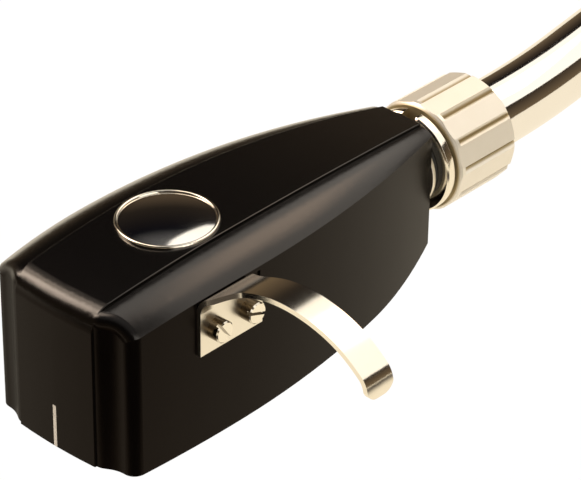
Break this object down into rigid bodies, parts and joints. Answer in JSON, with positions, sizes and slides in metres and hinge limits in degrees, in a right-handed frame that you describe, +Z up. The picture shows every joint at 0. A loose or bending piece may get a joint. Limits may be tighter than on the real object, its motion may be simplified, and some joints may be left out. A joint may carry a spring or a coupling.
{
  "type": "turntable stylus cartridge",
  "caption": "Long boat-shaped black pick-up head with a stylus below, a curved finger lift on one side, and a bayonet plug locked by a fluted collar to a chrome arm tube.",
  "frame": {"origin": "middle of the arm tube's free end", "axes": "+Y from the head back along the axis of the bayonet plug, +Z up, +X to the side with the finger lift; the free end of the tube is turned 8 degrees from +Y towards -X"},
  "size_m": [0.0451, 0.1027, 0.0241],
  "materials": {
    "black_moulding": "satin moulded black",
    "nickel": "bright warm plating",
    "mirror_chrome": "polished chrome",
    "white_paint": "flat white fill",
    "steel": "machined",
    "magnet": "sintered grey",
    "insulator": "moulded tan",
    "gold_brass": "gold plated",
    "black_rubber": "soft black",
    "aluminium": "plain",
    "copper": "enamelled winding",
    "diamond": "polished tip",
    "wire_cover": "wire covering"
  },
  "bodies": {
    "head": {"shell": "black_moulding", "badge_bezel": "nickel", "badge_disc": "mirror_chrome", "index_fill": "white_paint", "finger_lift": "nickel", "finger_lift_screws": "nickel", "plug_sleeve": "nickel", "locating_pin": "steel", "plug_insulator": "insulator", "contact_pins": "gold_brass", "shoulder_washer": "black_rubber", "base_plate": "black_moulding", "base_screws": "steel", "cradle": "aluminium", "cradle_screws": "steel", "magnet": "magnet", "front_pole": "steel", "rear_yoke": "steel", "pole_pin": "steel", "suspension_wire": "steel", "terminal_card": "insulator", "terminal_tags": "gold_brass", "lead_wires": "wire_cover", "arm_socket": "nickel", "socket_insulator": "insulator", "socket_contacts": "gold_brass", "arm_tube": "mirror_chrome", "arm_leads": "wire_cover"},
    "collar": {"locking_collar": "nickel"},
    "swing": {"damper": "black_rubber"},
    "needle": {"armature": "insulator", "coils": "copper", "cantilever": "aluminium", "stylus": "diamond"}
  },
  "joints": [
    {"name": "collar_turn", "type": "hinge", "parent": "head", "child": "collar", "pos_m": [0.00284, -0.03708, 0], "axis": [0, 1, 0], "range_deg": [-60, 0]},
    {"name": "stylus_sideways", "type": "hinge", "parent": "head", "child": "swing", "pos_m": [0.00284, -0.08788, -0.0084], "axis": [0, 0, 1], "range_deg": [-2, 2], "stiffness_Nm_per_rad": 0.005},
    {"name": "stylus_up_down", "type": "hinge", "parent": "swing", "child": "needle", "pos_m": [0.00284, -0.08788, -0.0084], "axis": [1, 0, 0], "range_deg": [-2, 2], "stiffness_Nm_per_rad": 0.005}
  ]
}
